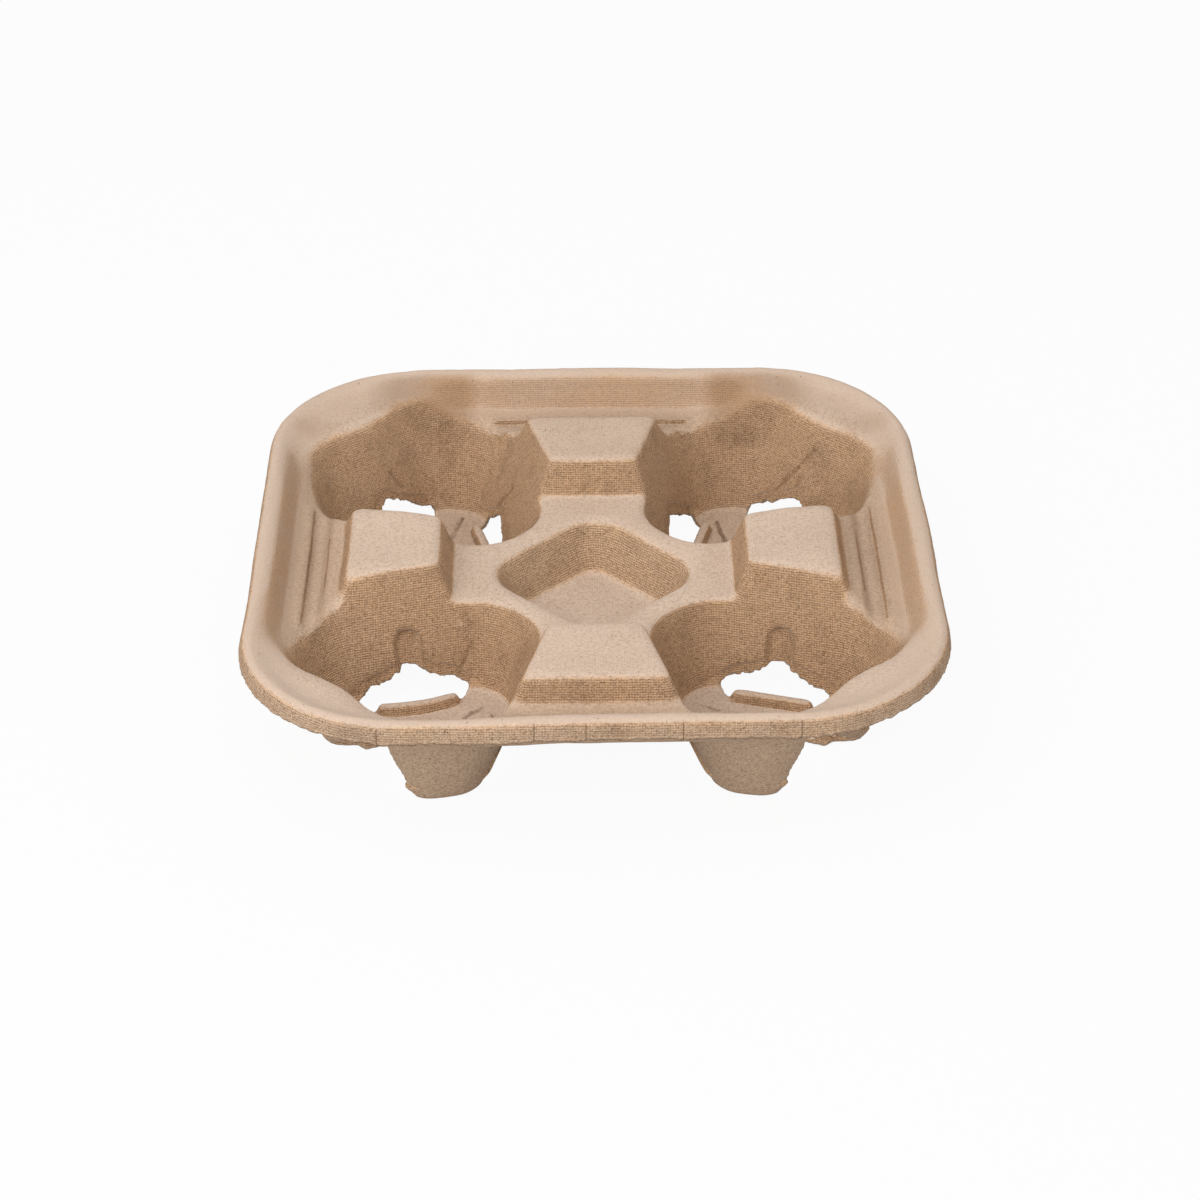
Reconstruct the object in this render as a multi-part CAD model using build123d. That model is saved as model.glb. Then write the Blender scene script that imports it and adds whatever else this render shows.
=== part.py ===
from build123d import *
from math import cos, hypot, radians, tan
import os

os.makedirs("parts", exist_ok=True)

# Moulded pulp tray, millimetres, standing with its feet on z = 0
tray_width = 210.0
tray_height = 45.0
corner_radius = 50.0
wall = 2.2

# Rim: a rounded crest with a short lip turned down outside it
rim_band = 6.8
lip_drop = 6.5
lip_draft = 12.0
lip_round = 2.4
crest_round = 4.0

# Levels below the rim's crest
post_drop = 3.5
shelf_drop = 4.0
ledge_drop = 12.5
saddle_drop = 16.0
pit_drop = 32.0

# Dish inside the rim; its floor is the ledge along each side, with a shallow groove
dish_draft = 18.0
dish_round = 2.0
groove_setback = 8.1
groove_width = 5.6
groove_depth = 2.4

# Cup pockets: cones that leave a strip of ledge outside them and a neck between them,
# each with two flat sides towards the posts and a side bowed in from the tray's corner
ledge_strip = 3.2
pocket_neck = 20.0
pocket_draft = 20.7
flat_share = 0.686
blend_share = 0.31
pocket_round = 2.5
mouth_round = 2.4

# Ramp that lifts the ledge to the flat shelf in each corner
ramp_run = 10.0
ramp_round = 4.0

# Four posts, one between each two neighbouring pockets
post_inset = 3.0
post_setback = 18.4
post_draft = 18.0
post_round = 3.0
post_base_round = 3.5

# Square pit in the low saddle between the posts, its sides facing the pockets
pit_brim = 7.0
pit_draft = 26.0
pit_corner = 5.0
pit_round = 4.0

# Gable window through the foot of each pocket side, and the bead along the floor beside it
window_sill = 3.4
window_top = 14.0
window_angle = 39.5
window_round = 4.0
bead_setback = 4.3
bead_width = 2.8
bead_height = 3.2
bead_round = 1.1


def lean(height, draft):
    return height * tan(radians(draft))


def skin(gap, draft):
    return gap / cos(radians(draft)) - lean(gap, draft)


# Levels and plan that follow from the sizes above
above = tray_height + wall
post_height = tray_height - post_drop
shelf_height = tray_height - shelf_drop
ledge_height = tray_height - ledge_drop
saddle_height = tray_height - saddle_drop
pit_floor = tray_height - pit_drop
dish_foot = tray_width / 2 - rim_band - lean(ledge_drop, dish_draft)
mouth_radius = (dish_foot - ledge_strip - pocket_neck / 2) / 2
pocket_place = mouth_radius + pocket_neck / 2
pocket_radius = mouth_radius - lean(ledge_height - wall, pocket_draft)
flat_distance = flat_share * pocket_radius
ramp_start = pocket_place - ramp_run / 2
ramp_end = pocket_place + ramp_run / 2
post_near = pocket_place - post_inset
post_far = dish_foot - post_setback
post_span = 2 * (ramp_start - ramp_round - wall)
saddle_half = (post_near + post_far) / 2
saddle_mouth = mouth_radius - lean(saddle_drop - ledge_drop, pocket_draft)
pit_apothem = pocket_place * 2 ** 0.5 - saddle_mouth - pit_brim
bead_distance = flat_distance - bead_setback
window_spread = tan(radians(window_angle))

quarter_turns = (0, 90, 180, 270)
side_turns = (60, 180, 300)
upright = (Align.CENTER, Align.CENTER, Align.MIN)


def flared(outline, base, crown, draft):
    return extrude(Pos(0, 0, base) * outline, crown - base, taper=-draft)


def rounded_floor(body, radius):
    return fillet(body.faces().sort_by(Axis.Z)[0].edges(), radius)


def edges_at(body, height):
    return body.edges().filter_by_position(Axis.Z, height, height)


def from_axis(edge):
    return hypot((edge @ 0.5).X, (edge @ 0.5).Y)


def dish(gap):
    side = 2 * (dish_foot + skin(gap, dish_draft))
    outline = RectangleRounded(side, side, corner_radius - (tray_width - side) / 2)
    return rounded_floor(flared(outline, ledge_height - gap, above, dish_draft), dish_round + gap)


def saddle(gap):
    base = saddle_height - gap
    return Pos(0, 0, base) * Box(2 * saddle_half, 2 * saddle_half, above - base, align=upright)


def post(gap):
    near = post_near + skin(gap, post_draft)
    far = post_far - skin(gap, post_draft)
    crown = post_height - gap
    spread = lean(crown, post_draft)
    profile = Polyline((near - spread, 0), (near, crown), (far, crown), (far + spread, 0), close=True)
    body = extrude(Plane.XZ * make_face(profile), post_span / 2, both=True)
    ridge = body.edges().filter_by(Axis.Y).group_by(Axis.Z)[-1]
    return fillet(ridge, max(post_round - gap, post_round / 5))


def shelf(gap):
    far = tray_width / 2
    crown = shelf_height - gap
    base = ledge_height - gap
    profile = make_face(Polyline(
        (ramp_start - ramp_round, 0), (ramp_start - ramp_round, base), (ramp_start, base),
        (ramp_end, crown), (far, crown), (far, 0), close=True,
    ))
    bends = profile.vertices().filter_by(lambda v: v.X in (ramp_start, ramp_end))
    ramp = extrude(Plane.XZ * fillet(bends, ramp_round), -far)
    return ramp & mirror(ramp, Plane(origin=(0, 0, 0), z_dir=(1, -1, 0)))


def pit(gap):
    apothem = pit_apothem - lean(saddle_height - pit_floor, pit_draft) + skin(gap, pit_draft)
    outline = Rot(0, 0, 45) * RectangleRounded(2 * apothem, 2 * apothem, pit_corner)
    body = flared(outline, pit_floor - gap, saddle_height + wall / 2, pit_draft)
    return rounded_floor(body, pit_round + gap)


def pocket(gap):
    grow = skin(gap, pocket_draft)
    corner = (tray_width / 2 - pocket_place) * 2 ** 0.5
    reach = pocket_radius + grow
    side = flat_distance + grow
    flat = Pos(side, 0) * Rectangle(reach, 4 * reach, align=(Align.MIN, Align.CENTER))
    outline = Rot(0, 0, 60) * Circle(reach) - Rot(0, 0, 60) * flat - Rot(0, 0, 300) * flat
    outline -= Pos(-corner, 0) * Circle(corner - side)
    outline = fillet(outline.vertices(), blend_share * pocket_radius + grow)
    return rounded_floor(flared(outline, wall - gap, above, pocket_draft), pocket_round + gap)


def groove(gap):
    base = ledge_height - groove_depth - gap
    trough = Box(groove_width + 2 * gap, 2 * pocket_place, above - base, align=upright)
    return Pos(dish_foot - groove_setback, 0, base) * trough


def window():
    inside = bead_distance + bead_width / 2
    outside = flat_distance + 2 * wall + lean(window_top, pocket_draft)
    half = (flat_distance + wall) * window_spread
    wedge = Polyline(
        (inside, -inside * window_spread), (outside, -outside * window_spread),
        (outside, outside * window_spread), (inside, inside * window_spread), close=True,
    )
    gable = make_face(Polyline(
        (-half, -wall), (half, -wall), (half, window_sill),
        (0, window_top), (-half, window_sill), close=True,
    ))
    gable = fillet(gable.vertices().sort_by(Axis.Y)[-1], window_round)
    return extrude(make_face(wedge), window_top, both=True) & extrude(Plane.YZ * gable, outside)


def bead():
    length = 2 * bead_distance * window_spread
    bar = Pos(bead_distance, 0, 0) * Box(bead_width, length, wall + bead_height, align=upright)
    return fillet(bar.faces().sort_by(Axis.Z)[-1].edges(), bead_round)


pocket_places = [
    Rot(0, 0, turn + 45) * Pos(pocket_place * 2 ** 0.5, 0, 0) * Rot(0, 0, 180) for turn in quarter_turns
]


def bowl(gap):
    hollow = dish(gap) + saddle(gap)
    for turn in quarter_turns:
        hollow -= Rot(0, 0, turn) * (post(gap) + shelf(gap))
    if gap == 0:
        feet = edges_at(hollow, saddle_height) + edges_at(hollow, ledge_height)
        hollow = fillet(feet.filter_by(lambda e: abs(e.length - post_span) < 0.01), post_base_round)
    hollow += pit(gap)
    if gap == 0:
        brim = edges_at(hollow, saddle_height)
        hollow = fillet(brim.filter_by(lambda e: from_axis(e) < pit_apothem * 2 ** 0.5), mouth_round)
    hollow += [place * pocket(gap) for place in pocket_places]
    if gap == 0:
        sides = edges_at(hollow, post_height)
        sides = sides.filter_by(Axis.X, reverse=True).filter_by(Axis.Y, reverse=True)
        hollow = fillet(sides, mouth_round)
    hollow += [Rot(0, 0, turn) * groove(gap) for turn in quarter_turns]
    return hollow


# Rim ring, hollow underneath between its lip and the back of the dish
lip_base = tray_height - lip_drop
rim_outline = RectangleRounded(tray_width, tray_width, corner_radius)
rim = flared(rim_outline, lip_base, tray_height, -lip_draft)
rim = fillet(rim.faces().sort_by(Axis.Z)[-1].edges(), lip_round) - dish(0)
rim = fillet(rim.faces().sort_by(Axis.Z)[-1].inner_wires()[0].edges(), crest_round)
lip_wall = wall / cos(radians(lip_draft))
under_side = tray_width - 2 * lip_wall
under_outline = RectangleRounded(under_side, under_side, corner_radius - lip_wall)
rim -= flared(under_outline, lip_base, tray_height - wall, -lip_draft) - dish(wall)

# Body: the underside form less the upper form, open at the windows
below_crest = Box(tray_width, tray_width, tray_height - wall, align=upright)
tray = rim + (bowl(wall) & below_crest) - bowl(0)
places = [place * Rot(0, 0, turn) for place in pocket_places for turn in side_turns]
tray -= [place * window() for place in places]
tray += [place * bead() for place in places]

export_step(tray, "parts/cup_carrier.step")
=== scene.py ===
import math

import bpy
import numpy as np
from mathutils import Matrix, Vector


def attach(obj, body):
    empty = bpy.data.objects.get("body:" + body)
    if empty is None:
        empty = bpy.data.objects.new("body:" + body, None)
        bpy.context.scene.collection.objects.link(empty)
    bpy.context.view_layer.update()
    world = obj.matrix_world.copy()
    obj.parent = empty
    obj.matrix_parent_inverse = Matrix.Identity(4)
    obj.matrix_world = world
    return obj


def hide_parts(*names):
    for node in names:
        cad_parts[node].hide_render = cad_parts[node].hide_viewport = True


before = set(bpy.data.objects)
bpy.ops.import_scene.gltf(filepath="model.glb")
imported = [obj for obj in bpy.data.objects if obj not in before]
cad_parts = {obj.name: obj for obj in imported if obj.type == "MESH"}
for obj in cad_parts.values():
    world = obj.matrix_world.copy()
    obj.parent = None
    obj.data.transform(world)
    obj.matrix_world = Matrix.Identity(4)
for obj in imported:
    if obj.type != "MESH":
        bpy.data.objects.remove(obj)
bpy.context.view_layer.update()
print("frame loaded:", ", ".join(sorted(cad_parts)))

mm = 0.001  # the tray's sizes below are millimetres


class Wire:  # a socket that takes part in Python expressions
    def __init__(self, board, socket):
        self.board = board
        self.socket = socket

    def math(self, operation, first, second=0.0):
        return self.board.node("ShaderNodeMath", {"operation": operation}, {0: first, 1: second})

    def __add__(self, other):
        return self.math("ADD", self, other)

    def __radd__(self, other):
        return self.math("ADD", other, self)

    def __sub__(self, other):
        return self.math("SUBTRACT", self, other)

    def __rsub__(self, other):
        return self.math("SUBTRACT", other, self)

    def __mul__(self, other):
        return self.math("MULTIPLY", self, other)

    def __rmul__(self, other):
        return self.math("MULTIPLY", other, self)

    def __truediv__(self, other):
        return self.math("DIVIDE", self, other)

    def __rtruediv__(self, other):
        return self.math("DIVIDE", other, self)

    def __pow__(self, other):
        return self.math("POWER", self, other)

    def __rpow__(self, other):
        return self.math("POWER", other, self)

    def most(self, other):
        return self.math("MAXIMUM", self, other)

    def least(self, other):
        return self.math("MINIMUM", self, other)

    def sine(self):
        return self.math("SINE", self)

    def size(self):
        return self.math("ABSOLUTE", self)


class Board:  # one material's or world's node tree
    def __init__(self, tree):
        self.tree = tree
        tree.nodes.clear()

    def node(self, kind, settings=None, sockets=None, out=0):
        made = self.tree.nodes.new(kind)
        for name, value in (settings or {}).items():
            setattr(made, name, value)
        for name, value in (sockets or {}).items():
            if isinstance(value, Wire):
                self.tree.links.new(value.socket, made.inputs[name])
            else:
                made.inputs[name].default_value = value
        return Wire(self, made.outputs[out]) if made.outputs else made

    def vector(self, operation, sockets, out=0):
        return self.node("ShaderNodeVectorMath", {"operation": operation}, sockets, out)

    def parts(self, vector):
        return (self.node("ShaderNodeSeparateXYZ", {}, {0: vector}, out=i) for i in range(3))

    def ramp(self, value, low, high):  # 0 at low, 1 at high, eased
        sockets = {"Value": value, "From Min": low, "From Max": high}
        return self.node("ShaderNodeMapRange", {"interpolation_type": "SMOOTHSTEP"}, sockets)

    def within(self, *fades):  # several ramps at once
        return math.prod(self.ramp(value, *limits) for value, limits in fades)

    def mix(self, factor, first, second):
        return self.node("ShaderNodeMix", {"data_type": "RGBA"}, {0: factor, 6: first, 7: second}, out=2)

    def seen(self):  # 1 for what the camera sees, also by reflection and through glass
        camera, glossy, through = (self.node("ShaderNodeLightPath", out=i) for i in (0, 3, 6))
        settings = {"operation": "ADD", "use_clamp": True}
        return self.node("ShaderNodeMath", settings, {0: camera + glossy, 1: through})

    def noise(self, place, scale, detail=2.0, roughness=0.5, out=0):
        sockets = {"Vector": place, "Scale": scale, "Detail": detail, "Roughness": roughness}
        return self.node("ShaderNodeTexNoise", {}, sockets, out)


def addObject(name, data):
    made = bpy.data.objects.new(name, data)
    bpy.context.scene.collection.objects.link(made)
    return made


def ease(value, low, high):  # 0 at low, 1 at high
    t = np.clip((value - low) / (high - low), 0.0, 1.0)
    return t * t * (3 - 2 * t)


def within(*fades):  # several eases at once
    return math.prod(ease(value, *limits) for value, limits in fades)


# Noise that comes out the same on every run
hashing = {
    "axes": (73856093, 19349663, 83492791), "seed": 2654435761, "stir": 1274126177,
    "shifts": (13, 16), "bits": 0xFFFFFF, "firstCell": 4096.0,
}


def lattice(cells, seed):  # one repeatable number from -1 to 1 for each whole cell
    mixed = np.uint64(seed * hashing["seed"])
    for axis, step in enumerate(hashing["axes"]):
        mixed = mixed ^ cells[:, axis].astype(np.uint64) * np.uint64(step)
    first, second = (np.uint64(shift) for shift in hashing["shifts"])
    mixed = (mixed ^ (mixed >> first)) * np.uint64(hashing["stir"])
    mixed = (mixed ^ (mixed >> second)) & np.uint64(hashing["bits"])
    return mixed.astype(float) / (hashing["bits"] // 2) - 1.0


def roll(points, size, seed):  # smooth noise from -1 to 1, with lumps of that size
    scaled = points / size + hashing["firstCell"]
    cell = np.floor(scaled).astype(np.int64)
    part = scaled - cell
    part = part * part * part * (part * (part * 6 - 15) + 10)
    total = np.zeros(len(points))
    for corner in np.ndindex(2, 2, 2):
        share = np.prod(np.where(np.array(corner) == 1, part, 1 - part), axis=1)
        total += share * lattice(cell + np.array(corner), seed)
    return total


def layers(points, sizes):  # noise of several sizes, each with its depth, size and seed
    return sum(depth * roll(points, size, seed) for depth, size, seed in sizes)


# Forms that the sculpting finds again on the solid
tray = {
    "halfWidth": 105.0, "cornerRadius": 50.0, "height": 45.0, "lipBase": 38.5,
    "pocketCentre": 50.47, "pocketFloor": 2.2,
    "wallFoot": 19.9, "wallLean": math.tan(math.radians(20.7)),
    "windowHalf": 18.2, "windowSill": 3.4, "windowTop": 14.0,
}


def outlineDepth(points):  # distance inside the tray's rounded outline, below zero outside
    q = np.abs(points[:, :2]) - (tray["halfWidth"] - tray["cornerRadius"])
    outside = np.hypot(*np.maximum(q, 0).T) + np.minimum(q.max(axis=1), 0)
    return tray["cornerRadius"] - outside


def sideways(out):
    return np.array((-out[1], out[0]))


def gable():  # the way up from a window's slanting edge: across and up
    rise = tray["windowTop"] - tray["windowSill"]
    span = math.hypot(rise, tray["windowHalf"])
    return rise / span, tray["windowHalf"] / span


# Windows at the pockets' feet; two numbers are where a fade starts and where it is full
window = {
    "turns": (60, 180, 300), "cornerTurn": 180, "postTurn": 285,  # degrees
    "wallInside": (-2.5, -1.0), "wallOutside": (5.5, 4.0), "reach": 26.0, "ceiling": 27.0, "facing": 0.9,
    "tear": 0.85, "tearReach": (3.5, 0.2), "tearFoot": (2.4, 4.4),
    "rag": ((0.7, 3.6, 11), (0.6, 1.7, 12), (0.35, 1.0, 13)),
    "hang": 2.2, "hangSides": (16.0, 5.0), "hangUp": (14.0, 0.0), "hangFoot": (3.5, 6.5),
    "shut": 10.6, "shutFar": 9.0, "shutNear": 18.0, "shutUp": (12.0, 0.0), "shutFoot": (3.0, 5.0),
    "pinch": 0.3, "pinchUp": (14.0, 1.0), "cleanLeg": (13.0, 8.0),
    "bend": 0.8, "bendWidth": 3.4, "bendSway": (0.8, 9.0, 14), "bendSoft": 0.45, "bendFoot": (3.5, 6.0),
    "archDepth": 2.4, "archFoot": 12.0, "archTop": 19.3, "archHalf": 3.8, "archOuter": 0.7, "archInner": 0.9,
    "stainUp": (5.0, 0.5), "stainFoot": (2.5, 4.0),
}


def windowSides():  # pocket centre, way out through the window, and whether its wall bows in
    for sx, sy in ((-1, -1), (-1, 1), (1, -1), (1, 1)):
        inward = math.atan2(-sy, -sx)
        centre = np.array((sx, sy)) * tray["pocketCentre"]
        for turn in window["turns"]:
            angle = inward + math.radians(turn)
            yield centre, np.array((math.cos(angle), math.sin(angle))), turn == window["cornerTurn"]


def nearWindow(points, centre, out, bowed):  # the wall round a window, and how far it is above the torn edge
    local = points[:, :2] - centre
    n, t, z = local @ out, local @ sideways(out), points[:, 2]
    wall = tray["wallFoot"] + (z - tray["pocketFloor"]) * tray["wallLean"]
    if bowed:
        corner = (tray["halfWidth"] - tray["pocketCentre"]) * math.sqrt(2)
        wall = corner - np.sqrt(np.maximum((corner - wall) ** 2 - t * t, 0))
    share = within((n - wall, window["wallInside"]), (n - wall, window["wallOutside"]))
    share = share * (np.abs(t) < window["reach"]) * (z < window["ceiling"])
    near = np.nonzero(share > 0)[0]
    t, z, share = t[near], z[near], share[near]
    across, up = gable()
    gap = (np.abs(t) - tray["windowHalf"]) * across + (z - tray["windowSill"]) * up
    return near, share, t, z, gap


def tearWindow(points, moves, centre, out, bowed):
    near, share, t, z, gap = nearWindow(points, centre, out, bowed)
    spot, tangent, atBack = points[near], sideways(out), centre[1] > 0
    slope = np.array((*out * tray["wallLean"], 1.0)) / math.hypot(1.0, tray["wallLean"])
    push = window["tear"] * layers(spot, window["rag"]) * ease(np.abs(gap), *window["tearReach"])
    push = push * share * ease(z, *window["tearFoot"])
    if bowed and atBack:  # the back corner windows opened less towards the side posts
        pinch = window["pinch"] * t * (t * tangent[1] < 0) * ease(gap, *window["pinchUp"])
        pinch = pinch * share * ease(z, *window["tearFoot"])
        moves[near, :2] -= pinch[:, None] * tangent
    elif bowed:  # the front legs have cleaner edges
        push = push * ease(-t * np.sign(out[0]), *window["cleanLeg"])
    elif not atBack:  # the pulp hangs down in the front windows beside the posts
        hang = within((np.abs(t), window["hangSides"]), (gap, window["hangUp"]))
        hang = hang * share * ease(z, *window["hangFoot"])
        moves[near] -= window["hang"] * hang[:, None] * slope
    elif centre[0] < 0 and out[0] > window["facing"]:  # half of this window by the back post never opened
        shut = np.clip(np.minimum(1 - t / window["shutFar"], 1 + t / window["shutNear"]), 0.0, 1.0)
        shut = shut * ease(gap, *window["shutUp"]) * share * ease(z, *window["shutFoot"])
        moves[near] -= window["shut"] * shut[:, None] * slope
    across, up = gable()
    moves[near] += push[:, None] * up * slope
    moves[near, :2] += (push * across * np.sign(t))[:, None] * tangent
    edge = window["bendWidth"] + layers(spot, [window["bendSway"]])
    bend = window["bend"] * ease(gap, edge + window["bendSoft"], edge - window["bendSoft"])
    bend = bend * share * ease(z, *window["bendFoot"])
    if not bowed and abs(out[1]) > abs(out[0]):  # an arch above each window beside the side posts
        spine = np.clip(z, window["archFoot"], window["archTop"])
        half = window["archHalf"]
        dent = ease(np.hypot(t, z - spine), half + window["archOuter"], half - window["archInner"])
        bend = np.maximum(bend, window["archDepth"] * dent * share)
    moves[near, :2] += bend[:, None] * out


bead = {
    "place": 15.6, "half": 13.4, "depth": 2.4, "foot": 0.2, "top": 7.0,
    "wide": 1.45, "high": 1.3, "soft": 0.42,
    "bow": 2.2, "bowHalf": 14.0, "bowInside": (8.6, 13.6), "bowOutside": 19.5, "bowUp": (8.0, 6.5),
}


def fattenBeads(points):  # makes the beads fuller than the solid's, and tells where they are
    beads = np.zeros(len(points))
    for centre, out, _ in windowSides():
        local = points[:, :2] - centre
        n, t, z = local @ out, local @ sideways(out), points[:, 2]
        on = (np.abs(n - bead["place"]) < bead["depth"]) & (np.abs(t) < bead["half"])
        on = on & (z > tray["pocketFloor"] + bead["foot"]) & (z < bead["top"])
        points[on, :2] += ((n[on] - bead["place"]) * (bead["wide"] - 1))[:, None] * out
        points[on, 2] += (z[on] - tray["pocketFloor"]) * (bead["high"] - 1)
        beads[on] = 1.0
        if centre.max() < 0 and out[1] > window["facing"]:  # the front left pocket's bead is bowed in
            bow = bead["bow"] * np.maximum(1 - (t / bead["bowHalf"]) ** 2, 0)
            bow = bow * ease(n, *bead["bowInside"]) * (n < bead["bowOutside"]) * ease(z, *bead["bowUp"])
            points[:, :2] -= bow[:, None] * out
    return beads


soft = {  # heights, distances from the middle and, for lip, groove and crest, depths inside the outline
    "rounds": 24, "least": 0.06, "more": 0.44, "up": (20.0, 29.0), "meltRounds": 100, "melt": 0.5,
    "postSides": (35.0, 31.0), "postStart": (44.0, 50.0), "postEnd": (92.0, 88.0), "postUp": (29.0, 32.0),
    "postKeeps": 0.6,
    "shoulderStart": (58.0, 70.0), "shoulderEnd": (90.0, 84.0),
    "shoulderNear": (13.0, 21.0), "shoulderFar": (44.0, 36.0),
    "slump": 0.6, "slumpUp": (33.0, 39.0), "slack": 0.4, "slackUp": (24.0, 30.0), "slackGroove": 0.5,
    "lip": (5.5, 3.0), "lipUp": (43.0, 41.0),
    "groove": (11.0, 13.0), "grooveEnd": (26.0, 24.0), "grooveUp": (36.0, 34.0), "grooveKeeps": 0.85,
    "crest": (3.0, 8.0), "cornerSides": (42.0, 58.0), "cornerUp": (30.0, 37.0),
    "stripSides": (31.0, 38.0), "stripStart": (82.0, 86.0), "stripUp": (25.0, 30.0),
}


def soften(points, edges, share, rounds):
    a, b = edges.T
    count = len(points)
    ends = np.bincount(edges.ravel(), minlength=count)[:, None]
    for _ in range(rounds):
        around = [np.bincount(a, points[b, i], count) + np.bincount(b, points[a, i], count) for i in range(3)]
        points = points + share[:, None] * (np.stack(around, axis=1) / ends - points)
    return points


def relax(points, edges):  # the upper forms lose their crisp edges, the windows, grooves and lip keep theirs
    beads = fattenBeads(points)
    depth, z = outlineDepth(points), points[:, 2].copy()
    out, across = np.abs(points[:, :2]).max(axis=1), np.abs(points[:, :2]).min(axis=1)
    inPost = within((across, soft["postSides"]), (out, soft["postStart"]), (out, soft["postEnd"]))
    inPost = inPost * ease(z, *soft["postUp"])
    shoulder = within((out, soft["shoulderStart"]), (out, soft["shoulderEnd"]))
    shoulder = shoulder * ease(across, *soft["shoulderNear"]) * ease(across, *soft["shoulderFar"])
    shoulder *= np.abs(points[:, 0]) > np.abs(points[:, 1])
    points[:, 2] -= soft["slump"] * shoulder * ease(z, *soft["slumpUp"])  # the side posts' outer corners
    lip = within((depth, soft["lip"]), (z, soft["lipUp"]))
    groove = within((depth, soft["groove"]), (depth, soft["grooveEnd"]), (z, soft["grooveUp"]))
    share = ease(z, *soft["up"]) * (1 - lip) * (1 - soft["grooveKeeps"] * groove)
    share = share * (1 - soft["postKeeps"] * inPost)
    share = soft["least"] + soft["more"] * share * (1 - beads) + bead["soft"] * beads
    points = soften(points, edges, share, soft["rounds"])
    inside = ease(depth, *soft["crest"])  # the rim's crest keeps its height
    corner = within((across, soft["cornerSides"]), (z, soft["cornerUp"])) * inside
    strip = within((across, soft["stripSides"]), (out, soft["stripStart"]), (z, soft["stripUp"])) * inside
    slack = soft["slack"] * shoulder * ease(z, *soft["slackUp"]) * (1 - soft["slackGroove"] * groove)
    return soften(points, edges, soft["melt"] * np.maximum.reduce((corner, strip, slack)), soft["meltRounds"])


creases = [  # short pressed lines, two ends each: on the pocket floors, then on the walls
    ((-43.8, 75.1, 2.2), (-46.8, 62.6, 2.2)), ((42.1, 71.8, 2.2), (44.8, 59.0, 2.2)),
    ((-34.2, -35.2, 2.2), (-39.9, -40.8, 2.2)), ((33.6, -34.8, 2.2), (37.6, -37.8, 2.2)),
    ((-67.1, 72.8, 21.9), (-63.1, 73.7, 15.1)), ((-26.1, 63.9, 21.1), (-32.0, 69.1, 9.5)),
    ((74.1, 70.3, 30.6), (69.3, 71.2, 23.5)), ((69.3, 71.2, 23.5), (61.5, 74.3, 12.6)),
    ((69.0, 69.8, 20.3), (68.2, 67.7, 14.9)), ((-55.0, 79.0, 6.8), (-53.5, 79.3, 2.2)),
    ((33.6, 71.8, 7.3), (34.8, 72.4, 3.8)), ((-37.7, -21.5, 15.9), (-41.6, -25.7, 6.7)),
]
press = {
    "warp": 0.4, "warpSize": 34.0, "warpSeed": 20, "lumps": ((0.13, 11.0, 1), (0.07, 3.0, 2)),
    "lip": (4.6, 3.0), "lipAbove": 30.0, "lipUp": (3.0, 0.3),
    "lipDepth": 0.7, "lipRag": ((0.5, 6.0, 3), (0.6, 2.2, 4), (0.5, 1.1, 5)),
    "crease": 0.5, "creaseReach": (1.1, 0.3),
    "twist": 1.5, "twistFront": (0.2, -1.0), "twistUp": (4.0, 30.0),
}


def pressPulp(points, normals):
    moves = [press["warp"] * roll(points, press["warpSize"], press["warpSeed"] + i) for i in range(3)]
    moves = np.stack(moves, axis=1)
    depth, z = outlineDepth(points), points[:, 2]
    moves += layers(points, press["lumps"])[:, None] * normals
    inLip = ease(depth, *press["lip"]) * (z > press["lipAbove"])
    lipTop, lipFoot = (tray["lipBase"] + height for height in press["lipUp"])
    moves[:, 2] += press["lipDepth"] * layers(points, press["lipRag"]) * inLip * ease(z, lipTop, lipFoot)
    for side in windowSides():
        tearWindow(points, moves, *side)
    for start, end in creases:
        offset, run = points - np.array(start), np.array(end) - np.array(start)
        along = np.clip(offset @ run / (run @ run), 0, 1)
        away = np.linalg.norm(offset - along[:, None] * run, axis=1)
        moves -= press["crease"] * ease(away, *press["creaseReach"])[:, None] * normals
    x, y = points[:, 0] / tray["halfWidth"], points[:, 1] / tray["halfWidth"]
    askew = press["twist"] * x * ease(y, *press["twistFront"]) * ease(z, *press["twistUp"])
    moves[:, 2] += askew  # the front sits a little askew
    return points + moves


def readVectors(items, name):
    values = np.empty(len(items) * 3, np.float32)
    items.foreach_get(name, values)
    return values.reshape(-1, 3).astype(float)


def writePoints(mesh, points):
    mesh.vertices.foreach_set("co", (points * mm).astype(np.float32).ravel())
    mesh.update()


def bake(piece):  # leaves the modifiers' result as the piece's own mesh
    graph = bpy.context.evaluated_depsgraph_get()
    made = bpy.data.meshes.new_from_object(piece.evaluated_get(graph))
    piece.modifiers.clear()
    piece.data = made
    return made


# What is torn out of both front corners, from inside the wall to outside it and from below the floor up.
# A point of the wall is the distance towards the front leg, and the height.
# A point of the floor is the distance out from the pocket's centre, and towards the front leg.
tornOut = {
    "wall": (
        (17.4, 3.0), (17.9, 11.0), (17.2, 18.0), (17.6, 26.5), (14.0, 24.0), (11.0, 22.5),
        (6.0, 19.0), (1.0, 17.0), (-4.0, 14.0), (0.0, 9.0), (9.0, 5.5),
    ),
    "wallReach": (18.5, 48.0),
    "floor": (
        (8.0, -6.0), (30.0, -15.5), (30.0, 16.0), (18.5, 15.0),
        (13.0, 10.6), (9.0, 6.8), (8.2, 3.0), (9.3, -2.0),
    ),
    "floorReach": (-1.0, 6.5),
}


def makePrism(name, ends):  # between two rings of the same number of points
    count = len(ends[0])
    faces = [list(range(count))[::-1], list(range(count, 2 * count))]
    for i in range(count):
        j = (i + 1) % count
        faces.append((i, j, count + j, count + i))
    mesh = bpy.data.meshes.new(name)
    mesh.from_pydata([tuple(np.array(point) * mm) for end in ends for point in end], [], faces)
    return addObject(name, mesh)


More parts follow.
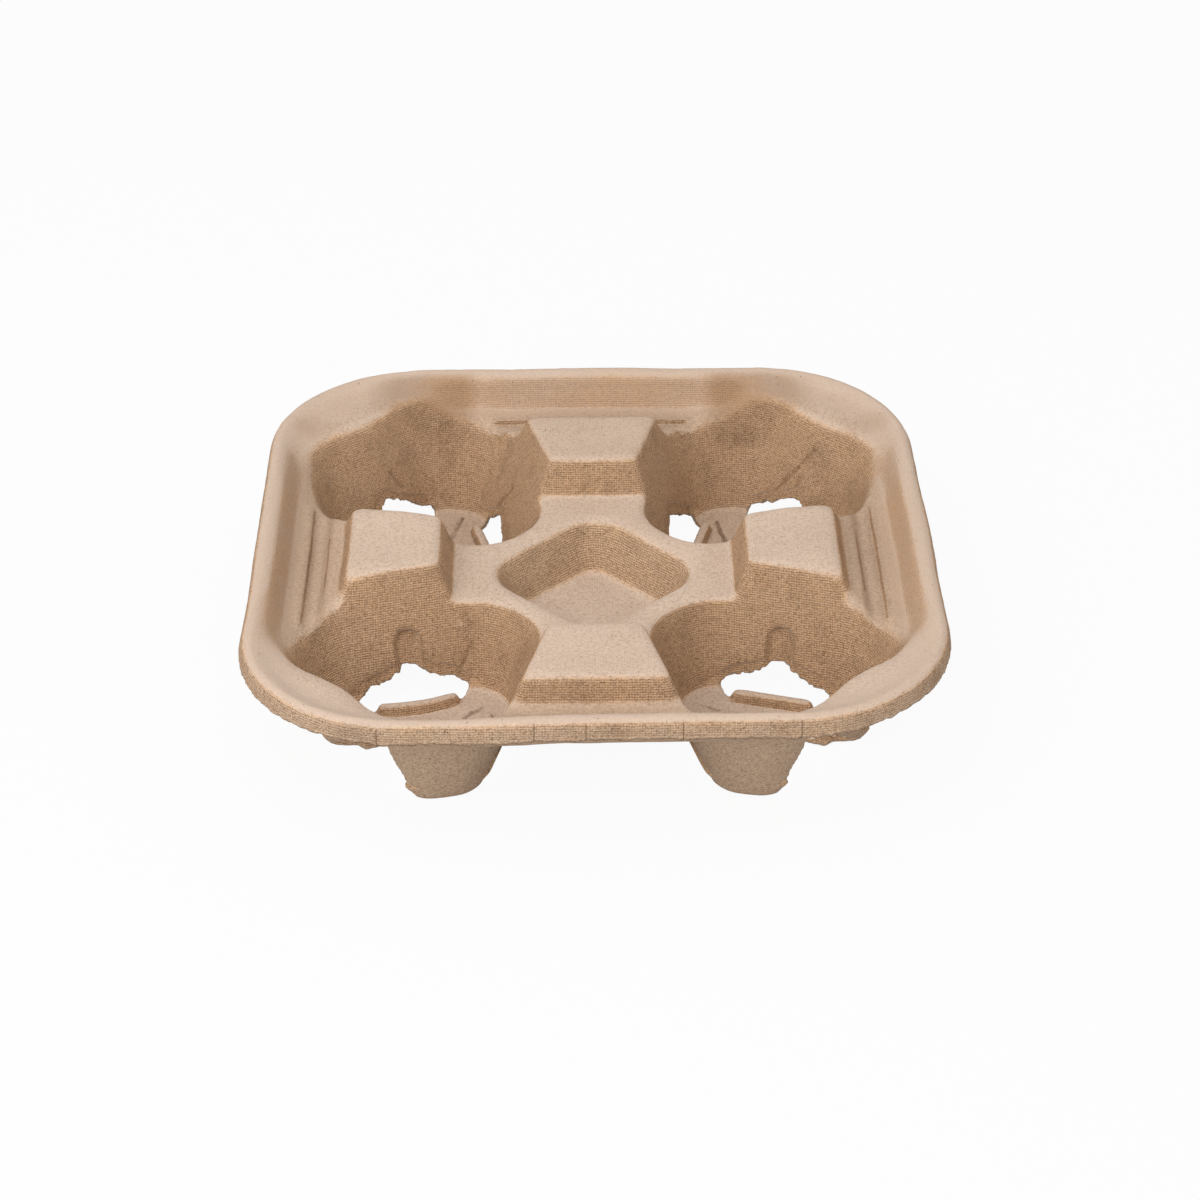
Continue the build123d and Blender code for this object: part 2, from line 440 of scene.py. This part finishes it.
def makeCutters():
    for centre, out, bowed in windowSides():
        if not bowed or centre[1] > 0:
            continue
        front = sideways(out) * -out[0] * math.sqrt(2)
        order = 1 if out[0] < 0 else -1  # the faces look outwards on both sides

        def spot(n, t, z):
            return (*(centre + out * n + front * t), z)

        wall = [[spot(n, t, z) for t, z in tornOut["wall"]][::order] for n in tornOut["wallReach"]]
        yield makePrism("torn_wall", wall)
        floor = [[spot(n, t, z) for n, t in tornOut["floor"]][::order] for z in tornOut["floorReach"]]
        yield makePrism("torn_floor", floor)


def stainTears(mesh):  # how near each point is to a torn edge, for the material
    points = readVectors(mesh.vertices, "co") / mm
    stain = np.zeros(len(points))
    for side in windowSides():
        near, share, _, z, gap = nearWindow(points, *side)
        shade = share * ease(gap, *window["stainUp"]) * ease(z, *window["stainFoot"])
        stain[near] = np.maximum(stain[near], shade)
    torn = mesh.attributes.new("torn", "FLOAT", "POINT")
    torn.data.foreach_set("value", stain.astype(np.float32))


fineMesh = {"weld": 1e-6, "voxel": 0.75, "triangles": 188000}  # weld in metres


def makeTray(node):
    piece = addObject("moulded_tray", node.data.copy())
    weld = piece.modifiers.new("weld", "WELD")
    weld.merge_threshold = fineMesh["weld"]
    cutters = list(makeCutters())
    for cutter in cutters:
        tearOut = piece.modifiers.new(cutter.name, "BOOLEAN")
        tearOut.operation = "DIFFERENCE"
        tearOut.solver = "EXACT"
        tearOut.object = cutter
    form = addObject("form", bake(piece))  # what the finer mesh settles on
    remesh = piece.modifiers.new("remesh", "REMESH")
    remesh.mode = "VOXEL"
    remesh.voxel_size = fineMesh["voxel"] * mm
    settle = piece.modifiers.new("settle", "SHRINKWRAP")
    settle.target = form
    settle.wrap_method = "NEAREST_SURFACEPOINT"
    mesh = bake(piece)
    for spent in (*cutters, form):
        bpy.data.objects.remove(spent)
    edges = np.empty(len(mesh.edges) * 2, np.int32)
    mesh.edges.foreach_get("vertices", edges)
    writePoints(mesh, relax(readVectors(mesh.vertices, "co") / mm, edges.reshape(-1, 2)))
    points = pressPulp(readVectors(mesh.vertices, "co") / mm, readVectors(mesh.vertex_normals, "vector"))
    points[:, 2] = np.maximum(points[:, 2], 0.0)  # the feet stay flat on the floor
    writePoints(mesh, points)
    thin = piece.modifiers.new("thin", "DECIMATE")
    triangles = sum(len(face.vertices) - 2 for face in mesh.polygons)
    thin.ratio = min(1.0, fineMesh["triangles"] / triangles)
    mesh = bake(piece)
    mesh.shade_smooth()
    stainTears(mesh)
    return piece


pulp = {
    # the third tone on the next line is the brown of painted shade
    "pale": (0.60, 0.46, 0.36), "brown": (0.665, 0.41, 0.233), "shadeBrown": (0.49, 0.345, 0.24),
    # the first tone on the next line darkens specks, grain and screen lines, and also paints shade
    "fleckAndShade": (0.13, 0.065, 0.03), "straw": (0.74, 0.56, 0.39),
    # noises: scale, detail and roughness
    "patch": (0.045, 3.0), "mottle": (0.3, 3.0, 0.6), "blotch": (0.11, 3.0),
    "grain": (1.1, 3.0, 0.7), "fibres": (2.1, 2.0, 0.7), "flatten": (1.0, 1.0, 2.0),
    # how far each zone turns from pale to brown, and how much of the darker tones it takes; the steep walls'
    # brown and most of the darker tones are painted shade
    "steepShadeBrown": 0.9, "slopePale": 0.35, "lipPale": 0.4,
    "bendShadeBrown": 0.35, "patchBrown": 0.6, "mottleBrown": 0.5, "tornBrown": 0.3,
    "ledgeShade": 0.8, "backFloorShade": 0.6, "backTopShade": 0.3,
    "blotchDark": 0.3, "bendShade": 0.34, "slopeDark": 0.06,
    "gutterShade": 0.22, "lipShade": 0.14, "lipEdgeShade": 0.45, "pitStraw": 0.25,
    "grainTint": 0.72, "grainFlat": 0.45, "grainSteep": 0.55, "grainSlope": 0.6,
    "grainDark": (0.6, 0.3), "fibreStraw": (0.45, 0.75),
    "speckScale": 0.3, "speckFibres": 0.3, "speckSize": (0.24, 0.19), "speckTint": 0.6,
    "markShade": 0.7, "fibreHeight": 0.7, "weaveHeight": 0.8, "bump": 0.00022,  # bump in metres
    "roughness": 0.84, "roughMottle": 0.12, "shine": 0.15,
}
zone = {  # where a tone starts and where it is full, as a slope or in millimetres
    "steep": (0.95, 0.45), "below": (0.05, -0.1),
    "slope": (35.0, 38.0), "slopeEnd": (48.5, 47.5),
    "lip": (47.5, 49.0), "lipFacing": (0.75, 0.4), "lipUp": (30.0, 34.0),
    "ledge": (21.0, 26.0), "ledgeEnd": (41.0, 38.0), "ledgeFlat": (0.5, 0.85),
    "ledgeTop": (35.5, 33.0), "ledgeFoot": (27.0, 29.0),
    "floorTop": (4.0, 3.0), "floorBack": (0.0, 40.0),
    "gutterPlaces": ((83.4, 2.2, 0.4), (88.6, 2.6, 0.5)),  # middle, and how far a fade starts and is full
    "gutterEnds": (36.0, 30.0), "gutterTop": (33.5, 32.0),
    "bend": (30.0, 34.0), "bendEnd": (46.0, 43.0), "bendBack": (60.0, 75.0),
    "bendNear": (36.0, 44.0), "bendFar": (78.0, 64.0),
    "backTop": (45.0, 52.0), "backTopUp": (39.0, 40.5), "backTopEnd": (44.0, 41.0),
    "blotch": (0.48, 0.75), "edgeFacing": (0.05, -0.4), "edge": (46.5, 47.5), "edgeUp": (34.0, 36.0),
    "pit": (38.0, 35.0),
}


def tone(name):
    return (*pulp[name], 1.0)


class Spot:  # what the pulp's shading knows of a point on the tray
    def __init__(self, board):
        self.place = board.vector("SCALE", {0: board.node("ShaderNodeTexCoord", out=3), "Scale": 1 / mm})
        self.x, self.y, self.z = board.parts(self.place)
        self.nx, self.ny, self.nz = board.parts(board.node("ShaderNodeNewGeometry", out=1))
        self.torn = board.node("ShaderNodeAttribute", {"attribute_name": "torn"}, out=2)
        self.side = self.x.size().most(self.y.size())
        self.along = self.x.size().least(self.y.size())
        flat = tray["halfWidth"] - tray["cornerRadius"]
        beyond = [(axis.size() - flat).most(0.0) ** 2 for axis in (self.x, self.y)]
        self.toRim = (beyond[0] + beyond[1]) ** 0.5  # the corner radius is reached at the tray's outline
        flatter = board.vector("MULTIPLY", {0: self.place, 1: pulp["flatten"]})
        self.patch = board.noise(self.place, *pulp["patch"])
        self.mottle = board.noise(self.place, *pulp["mottle"])
        self.grain = board.noise(flatter, *pulp["grain"])
        self.fibres = board.noise(flatter, *pulp["fibres"])
        self.steep = board.ramp(self.nz.size(), *zone["steep"])
        # the wall between ledge and rim, and the lip
        self.slope = board.within((self.toRim, zone["slope"]), (self.toRim, zone["slopeEnd"]))
        self.lip = board.within((self.toRim, zone["lip"]), (self.nz, zone["lipFacing"]))
        self.lip = self.lip * board.ramp(self.z, *zone["lipUp"])


def baseTint(board, spot):  # pale flats, steep walls painted brown as shade and warm bounce, and the darker zones, most of them painted shade
    toRim, z, y = spot.toRim, spot.z, spot.y
    below = board.ramp(spot.nz, *zone["below"])
    # painted shade: the bend from the rim down into the back pockets is browner and darker, as the light
    # falls off towards the back
    bend = board.within((toRim, zone["bend"]), (toRim, zone["bendEnd"]), (y, zone["bendBack"]))
    bend = bend * board.within((spot.along, zone["bendNear"]), (spot.along, zone["bendFar"]))
    # painted shade and warm bounce: steep walls turn brown, less on the slope and the lip and more at the
    # back bend; torn edges, patches and mottle add the pulp's own brown
    shadeAndStainBrown = spot.steep * (pulp["steepShadeBrown"] - pulp["slopePale"] * spot.slope - pulp["lipPale"] * spot.lip)
    shadeAndStainBrown = shadeAndStainBrown + bend * pulp["bendShadeBrown"] + spot.torn * pulp["tornBrown"]
    shadeAndStainBrown = shadeAndStainBrown + (spot.patch - 0.5) * pulp["patchBrown"] + (spot.mottle - 0.5) * pulp["mottleBrown"]
    tint = board.mix(board.ramp(shadeAndStainBrown, 0.0, 1.0), tone("pale"), tone("brown"))

    # painted shade: faces turned down, the side ledges, the back pockets' floors and the flats at the back
    # take the shaded brown
    ledge = board.within((toRim, zone["ledge"]), (toRim, zone["ledgeEnd"]), (spot.nz, zone["ledgeFlat"]))
    ledge = ledge * board.within((z, zone["ledgeTop"]), (z, zone["ledgeFoot"]))
    backFloor = board.within((z, zone["floorTop"]), (y, zone["floorBack"]))
    backTop = board.within((y, zone["backTop"]), (z, zone["backTopUp"]), (toRim, zone["backTopEnd"]))
    shadeBrown = below.most(ledge * pulp["ledgeShade"])
    shadeBrown = shadeBrown.most(backFloor * pulp["backFloorShade"]).most(backTop * pulp["backTopShade"])
    tint = board.mix(shadeBrown, tint, tone("shadeBrown"))

    blotch = board.ramp(board.noise(spot.place, *pulp["blotch"]), *zone["blotch"])
    blotch = blotch * spot.steep * (1 - spot.slope) * (1 - below)
    # painted shade along the lip's lower edge, where it turns down
    edge = board.within((spot.nz, zone["edgeFacing"]), (toRim, zone["edge"]), (z, zone["edgeUp"]))
    # painted shade in the two grooves along each side ledge
    gutter = 0.0
    for middle, outer, inner in zone["gutterPlaces"]:
        gutter = board.ramp((spot.side - middle).size(), outer, inner).most(gutter)
    gutter = gutter * board.within((spot.along, zone["gutterEnds"]), (z, zone["gutterTop"]))
    gutter = gutter * board.ramp(z, *zone["ledgeFoot"])
    # real blotches on the walls; painted shade at the back bend, in the grooves, on the lip's face and along
    # its lower edge; the slope a little darker
    dark = blotch * pulp["blotchDark"] + bend * pulp["bendShade"] + spot.slope * pulp["slopeDark"]
    dark = dark + gutter * pulp["gutterShade"] + spot.lip * pulp["lipShade"] + edge * pulp["lipEdgeShade"]
    tint = board.mix(dark, tint, tone("fleckAndShade"))
    pit = board.ramp(spot.x.size() + spot.y.size(), *zone["pit"]) * spot.steep
    return board.mix(pit * pulp["pitStraw"], tint, tone("straw"))


weave = {
    "pitch": 0.78, "line": (-0.1, -0.9), "wobbleScale": 0.2, "wobble": 3.5, "rowPitch": 1.15,
    "tint": 0.6, "flat": (0.85, 0.95), "flatShare": 0.2, "upright": (0.75, 0.5), "columnShare": 0.65,
    "turns": (0, 45, 90, 135), "toward": (0.80, 0.90), "leastLevel": 0.0001,
    "above": (0.02, 0.15), "patches": (0.5, 0.9), "mottle": 0.5, "steep": 0.3, "slope": 0.5, "lip": 0.2,
}


def screenPrint(board, spot):  # the wire screen's lines on the upper side, set square to the way a wall faces
    wobble = (board.noise(spot.place, weave["wobbleScale"]) - 0.5) * weave["wobble"]

    def wires(along):
        return board.ramp((along * (2 * math.pi / weave["pitch"]) + wobble).sine(), *weave["line"])

    upright = board.ramp(spot.nz, *weave["upright"])
    lines = wires(spot.x).most(wires(spot.y)) * board.ramp(spot.nz, *weave["flat"]) * weave["flatShare"]
    rows = wires(spot.z * weave["rowPitch"])
    level = spot.nx * spot.nx + spot.ny * spot.ny + weave["leastLevel"]
    for turn in weave["turns"]:
        c, s = math.cos(math.radians(turn)), math.sin(math.radians(turn))
        toward = board.ramp((spot.nx * c + spot.ny * s) ** 2 / level, *weave["toward"])
        columns = wires(spot.y * c - spot.x * s) * weave["columnShare"]
        lines = lines + toward * columns.most(rows) * upright
    patches = spot.patch + spot.mottle * weave["mottle"] + spot.steep * weave["steep"]
    screen = board.within((spot.nz, weave["above"]), (patches, weave["patches"]))
    return screen * (1 - weave["slope"] * spot.slope - weave["lip"] * spot.lip) * lines


mark = {
    "rough": 0.7, "swirlScale": 0.35, "swirl": (1.4, 1.4, 0.6),
    "creaseRough": 0.6, "crease": (1.1, 0.5), "onWall": 0.45,
    "lipCracks": (-62.0, -17.8, -3.2, 24.1, 57.4),  # across the front of the lip, x
    "crackRough": 0.6, "crack": (0.22, 0.1), "crackFront": (-103.0, -103.4), "crackShade": 0.8,
    "wall": (17.0, 19.0), "wallTop": (27.0, 24.0), "sidePosts": (0.0, 2.0),
    "hungUp": (27.0, 12.0), "hungFront": (0.0, -9.0),
    "archInner": (0.1, 0.5), "archOuter": (1.2, 0.6), "archFoot": (12.0, 15.0), "archShade": 0.36,
    "foldSway": 3.0, "fold": (0.6, 0.2), "foldEnds": (17.0, 14.0), "foldClear": 1.0, "foldShade": 0.28,
}


def creaseMarks(board, spot, rough):  # the pressed lines and the hairlines across the lip, darkened as painted shade
    marks = 0.0
    swirl = board.noise(spot.place, mark["swirlScale"], out=1)
    bent = board.vector("MULTIPLY_ADD", {0: swirl, 1: mark["swirl"], 2: spot.place})
    for start, end in creases:
        run = Vector(end) - Vector(start)
        offset = board.vector("SUBTRACT", {0: bent, 1: Vector(start) + Vector(mark["swirl"]) / 2})
        share = board.vector("DOT_PRODUCT", {0: offset, 1: run / run.length_squared}, out=1)
        nearest = board.vector("SCALE", {0: run, "Scale": share.most(0.0).least(1.0)})
        away = board.vector("DISTANCE", {0: offset, 1: nearest}, out=1)
        line = board.ramp(away + rough.size() * mark["creaseRough"], *mark["crease"])
        marks = marks + line * (1.0 if run.z == 0 else mark["onWall"])
    front = board.ramp(spot.y, *mark["crackFront"]) * mark["crackShade"]
    for crack in mark["lipCracks"]:
        away = (spot.x - crack + rough * mark["crackRough"]).size()
        marks = marks + board.ramp(away, *mark["crack"]) * front
    return marks


def windowMarks(board, spot, rough):  # the arch and the folded flap above the windows beside the side posts, darkened as painted shade along the arch's rim and the fold
    out, across = spot.side - tray["pocketCentre"], spot.along - tray["pocketCentre"]
    c, s = math.cos(math.radians(window["postTurn"])), math.sin(math.radians(window["postTurn"]))
    n, t = out * c + across * s, across * c - out * s  # from the pocket out through the window, and along it
    sidePosts = spot.x.size() - spot.y.size()
    wall = board.within((n, mark["wall"]), (spot.z, mark["wallTop"]), (sidePosts, mark["sidePosts"]))
    hung = board.within((t.size(), window["hangSides"]), (spot.z, mark["hungUp"]))
    hung = hung * board.ramp(spot.y, *mark["hungFront"])
    height = spot.z + window["hang"] * hung  # before the pulp hung down
    arch = (t ** 2 + (height - window["archTop"]).most(0.0) ** 2) ** 0.5
    rim = arch - window["archHalf"] + rough
    ring = board.within((rim, mark["archInner"]), (rim, mark["archOuter"]), (height, mark["archFoot"]))
    gableAcross, gableUp = gable()
    gap = (t.size() - tray["windowHalf"]) * gableAcross + (height - tray["windowSill"]) * gableUp
    sway = (spot.mottle - 0.5) * mark["foldSway"] + rough
    fold = board.ramp((gap - window["bendWidth"] + sway).size(), *mark["fold"])
    clear = (window["archHalf"], window["archHalf"] + mark["foldClear"])
    fold = fold * board.within((t.size(), mark["foldEnds"]), (arch, clear))
    return wall * (ring * mark["archShade"] + fold * mark["foldShade"])


def pulpMaterial():
    made = bpy.data.materials.new("moulded_pulp")
    made.use_nodes = True
    board = Board(made.node_tree)
    spot = Spot(board)
    tint = baseTint(board, spot)
    lines = screenPrint(board, spot)
    tint = board.mix(lines * weave["tint"], tint, tone("fleckAndShade"))

    # dark and straw coloured fibres, stronger on the walls
    share = pulp["grainTint"] * (pulp["grainFlat"] + pulp["grainSteep"] * spot.steep)
    share = share * (1 - pulp["grainSlope"] * spot.slope)
    tint = board.mix(board.ramp(spot.grain, *pulp["grainDark"]) * share, tint, tone("fleckAndShade"))
    tint = board.mix(board.ramp(spot.fibres, *pulp["fibreStraw"]) * share, tint, tone("straw"))
    sockets = {"Vector": spot.place, "Scale": pulp["speckScale"], "Randomness": 1.0}
    specks = board.node("ShaderNodeTexVoronoi", {}, sockets) + spot.fibres * pulp["speckFibres"]
    tint = board.mix(board.ramp(specks, *pulp["speckSize"]) * pulp["speckTint"], tint, tone("fleckAndShade"))

    rough = (spot.grain - 0.5) * mark["rough"]
    marks = creaseMarks(board, spot, rough) + windowMarks(board, spot, rough)
    # painted shade darkens the creases, the lip's cracks, the arch's rim and the fold line
    tint = board.mix(marks * pulp["markShade"], tint, tone("fleckAndShade"))

    height = (spot.grain + spot.fibres) * pulp["fibreHeight"] - lines * pulp["weaveHeight"] - marks
    normal = board.node("ShaderNodeBump", {}, {"Strength": 1.0, "Distance": pulp["bump"], "Height": height})
    roughness = pulp["roughness"] + pulp["roughMottle"] * spot.mottle
    sockets = {"Base Color": tint, "Roughness": roughness, "Normal": normal}
    sockets["Specular IOR Level"] = pulp["shine"]
    shader = board.node("ShaderNodeBsdfPrincipled", {}, sockets)
    board.node("ShaderNodeOutputMaterial", {}, {"Surface": shader})
    return made


piece = makeTray(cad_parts["cup_carrier"])
piece.data.materials.clear()
piece.data.materials.append(pulpMaterial())
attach(piece, "root")
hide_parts("cup_carrier")
print("tray sculpted:", len(piece.data.vertices), "points,", len(piece.data.polygons), "faces")

stage = {  # the floor's size and drop in metres
    "floorSize": 6.0, "floorDrop": 0.0003, "floorTone": 0.62, "floorGlow": 0.94, "worldTone": 0.74,
}


def paleMaterial():
    made = bpy.data.materials.new("pale_floor")
    made.use_nodes = True
    board = Board(made.node_tree)
    matte = board.node("ShaderNodeBsdfDiffuse", {}, {"Color": (stage["floorTone"],) * 3 + (1,)})
    white = board.node("ShaderNodeEmission", {}, {"Color": (1, 1, 1, 1), "Strength": 1.0})
    both = board.node("ShaderNodeMixShader", {}, {0: board.seen() * stage["floorGlow"], 1: matte, 2: white})
    board.node("ShaderNodeOutputMaterial", {}, {"Surface": both})
    return made


def makeStage():
    half = stage["floorSize"] / 2
    mesh = bpy.data.meshes.new("floor")
    corners = [(-half, -half, 0), (half, -half, 0), (half, half, 0), (-half, half, 0)]
    mesh.from_pydata(corners, [], [(0, 1, 2, 3)])
    mesh.materials.append(paleMaterial())
    floor = addObject("floor", mesh)
    floor.location.z = -stage["floorDrop"]
    world = bpy.data.worlds.new("studio")
    bpy.context.scene.world = world
    world.use_nodes = True
    board = Board(world.node_tree)
    sockets = {"Color": (stage["worldTone"],) * 3 + (1,), "Strength": 1.0}
    grey = board.node("ShaderNodeBackground", {}, sockets)
    white = board.node("ShaderNodeBackground", {}, {"Color": (1, 1, 1, 1), "Strength": 1.0})
    both = board.node("ShaderNodeMixShader", {}, {0: board.seen(), 1: grey, 2: white})
    board.node("ShaderNodeOutputWorld", {}, {"Surface": both})


lamps = {  # place and size in metres, power in watts
    "top": {"place": (-0.28, -0.4, 0.8), "size": 0.8, "power": 3.5},
    "front": {"place": (-0.4, -0.95, 0.7), "size": 1.0, "power": 6.0},
}
lampAim = Vector((0, 0, 0.03))


def makeLamps():
    for name, values in lamps.items():
        lamp = bpy.data.lights.new(name, "AREA")
        lamp.size = values["size"]
        lamp.energy = values["power"]
        holder = addObject(name, lamp)
        holder.location = values["place"]
        holder.rotation_euler = (lampAim - holder.location).to_track_quat("-Z", "Y").to_euler()


eye = {  # the photograph's camera: degrees, and millimetres from the middle of the rim's crest
    "elevation": 33.169, "turn": 0.73, "distance": 906.53, "across": -2.003, "lift": 22.786,
    "focal": 2931.8, "frame": 1200.0,  # pixels
    "sensor": 36.0, "clip": (0.05, 50.0),  # clip in metres
}


def makeCamera():
    e, t = math.radians(eye["elevation"]), math.radians(eye["turn"])
    ahead = Vector((math.sin(t) * math.cos(e), math.cos(t) * math.cos(e), -math.sin(e)))
    right = Vector((math.cos(t), -math.sin(t), 0))
    above = right.cross(ahead)
    place = -(eye["across"] * right + eye["lift"] * above + eye["distance"] * ahead)
    place += Vector((0, 0, tray["height"]))
    lens = bpy.data.cameras.new("photo_view")
    lens.sensor_width = eye["sensor"]
    lens.lens = eye["focal"] * eye["sensor"] / eye["frame"]
    lens.clip_start, lens.clip_end = eye["clip"]
    camera = addObject("photo_view", lens)
    turned = Matrix((right, above, -ahead)).transposed().to_4x4()
    camera.matrix_world = Matrix.Translation(place * mm) @ turned
    bpy.context.scene.camera = camera


makeStage()
makeLamps()
makeCamera()
bpy.context.scene.view_settings.view_transform = "Standard"
print("stage, lamps and camera set")
